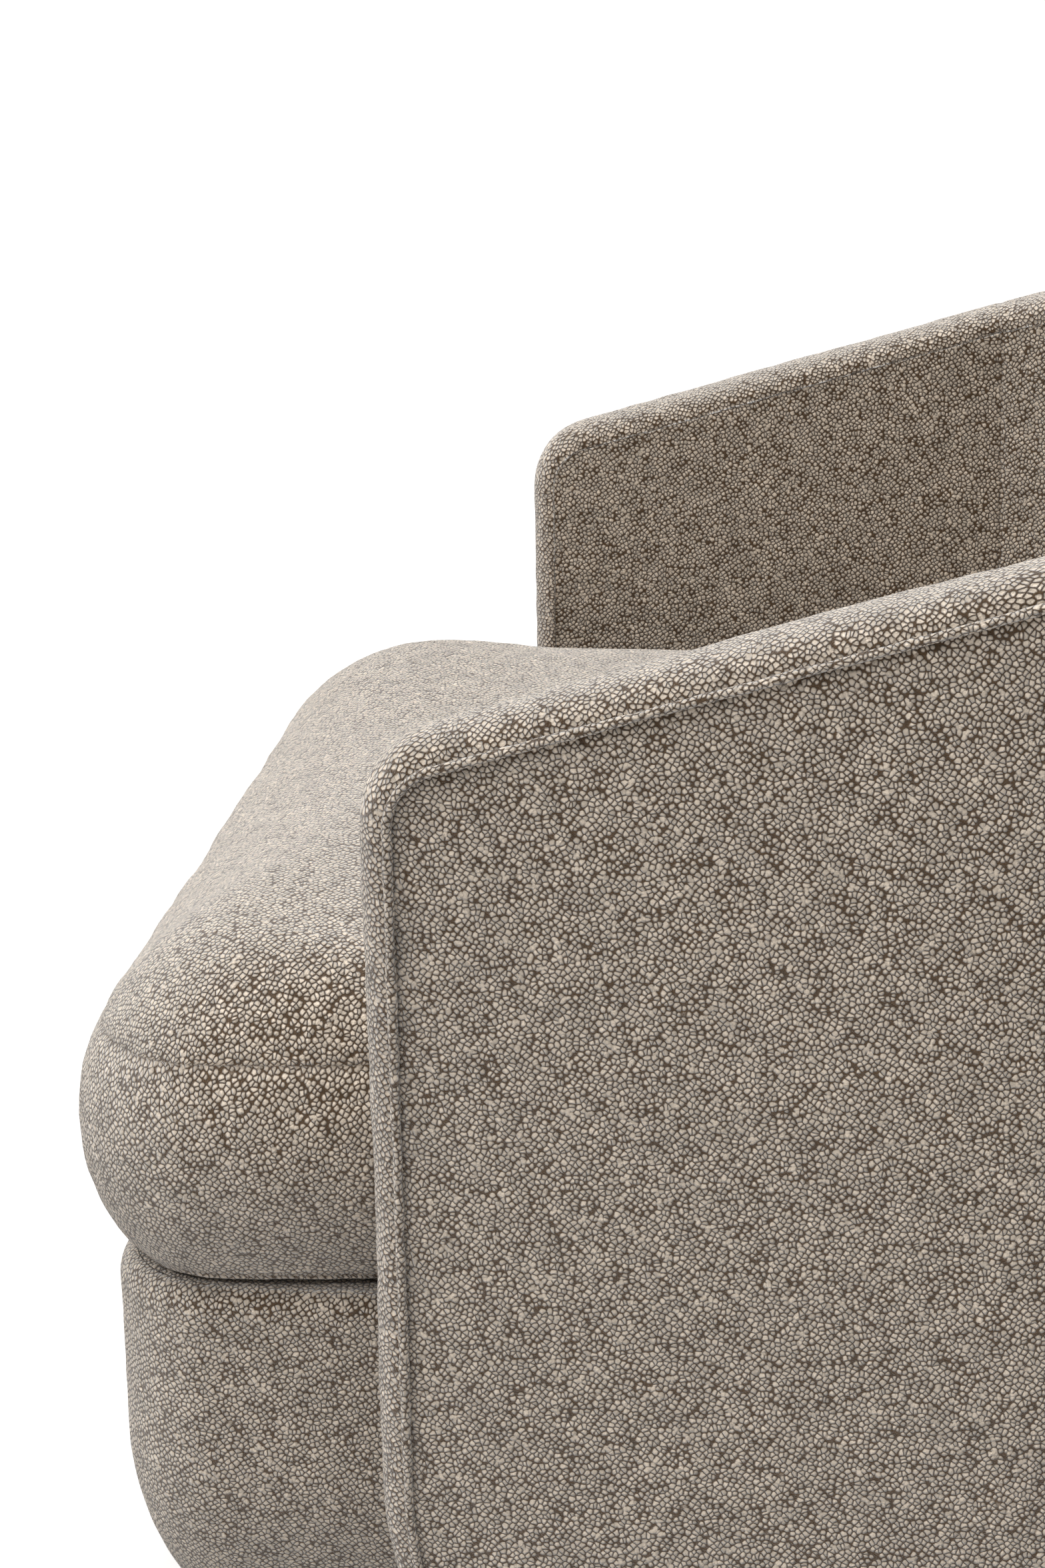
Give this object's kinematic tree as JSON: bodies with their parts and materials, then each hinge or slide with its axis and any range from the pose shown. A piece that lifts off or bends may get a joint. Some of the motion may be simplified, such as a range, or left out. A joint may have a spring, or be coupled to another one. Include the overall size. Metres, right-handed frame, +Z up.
{
  "type": "upholstered armchair",
  "caption": "Upholstered tub armchair with arms and back in one wrap, a padded base and a loose boxed seat cushion.",
  "frame": {"origin": "on the floor, at the centre of the chair's footprint", "axes": "the chair faces -Y, +Z is up and +X is towards the sitter's left arm"},
  "size_m": [0.8, 0.76, 0.705],
  "materials": {
    "frame_wood": "matte",
    "plywood": "matte",
    "webbing": "matte",
    "wadding": "matte",
    "foam": "matte",
    "lining_cloth": "matte",
    "boucle_cloth": "matte",
    "zinc_steel": "satin",
    "glide_plastic": "matte",
    "zip_tape": "matte"
  },
  "bodies": {
    "chair": {"arm_bottom_rail_left": "frame_wood", "arm_bottom_rail_right": "frame_wood", "arm_post_left": "frame_wood", "arm_post_right": "frame_wood", "arm_tack_rails": "frame_wood", "arm_top_rail_left": "frame_wood", "arm_top_rail_right": "frame_wood", "back_bottom_rail": "frame_wood", "back_tack_rail": "frame_wood", "back_top_rail": "frame_wood", "back_uprights": "frame_wood", "back_webbing": "webbing", "base_back_rail": "frame_wood", "base_cross_rail": "frame_wood", "base_rail_left": "frame_wood", "base_rail_right": "frame_wood", "base_stretchers": "frame_wood", "bolt_washers": "zinc_steel", "border_foam_back": "foam", "border_foam_left": "foam", "border_foam_right": "foam", "corner_blocks": "frame_wood", "corner_uprights": "frame_wood", "deck_cloth": "lining_cloth", "deck_foam": "foam", "dust_cloth": "lining_cloth", "frame_bolts": "zinc_steel", "glide_nails": "zinc_steel", "glides": "glide_plastic", "inner_cover_back": "boucle_cloth", "inner_cover_left": "boucle_cloth", "inner_cover_right": "boucle_cloth", "inner_foam_back": "foam", "inner_foam_left": "foam", "inner_foam_right": "foam", "liner_boards": "plywood", "nose_cover": "boucle_cloth", "nose_foam": "foam", "nose_panel": "plywood", "nose_rail": "frame_wood", "outer_board_back": "plywood", "outer_board_left": "plywood", "outer_board_right": "plywood", "outer_cover_back": "boucle_cloth", "outer_cover_left": "boucle_cloth", "outer_cover_right": "boucle_cloth", "outer_wadding": "wadding", "seat_webbing_cross": "webbing", "seat_webbing_long": "webbing"},
    "seat_cushion": {"cushion_foam": "foam", "cushion_wrap": "wadding", "cushion_top_panel": "boucle_cloth", "cushion_boxing": "boucle_cloth", "cushion_bottom_panel": "boucle_cloth", "zip_tape": "zip_tape"},
    "zip_slider_body": {"zip_slider": "zinc_steel"}
  },
  "joints": [
    {"name": "seat_cushion_lift", "type": "slide", "parent": "chair", "child": "seat_cushion", "axis": [0, 0, 1], "range_m": [0, 0.5]},
    {"name": "zip_slider_slide", "type": "slide", "parent": "seat_cushion", "child": "zip_slider_body", "axis": [1, 0, 0], "range_m": [0, 0.378]}
  ]
}
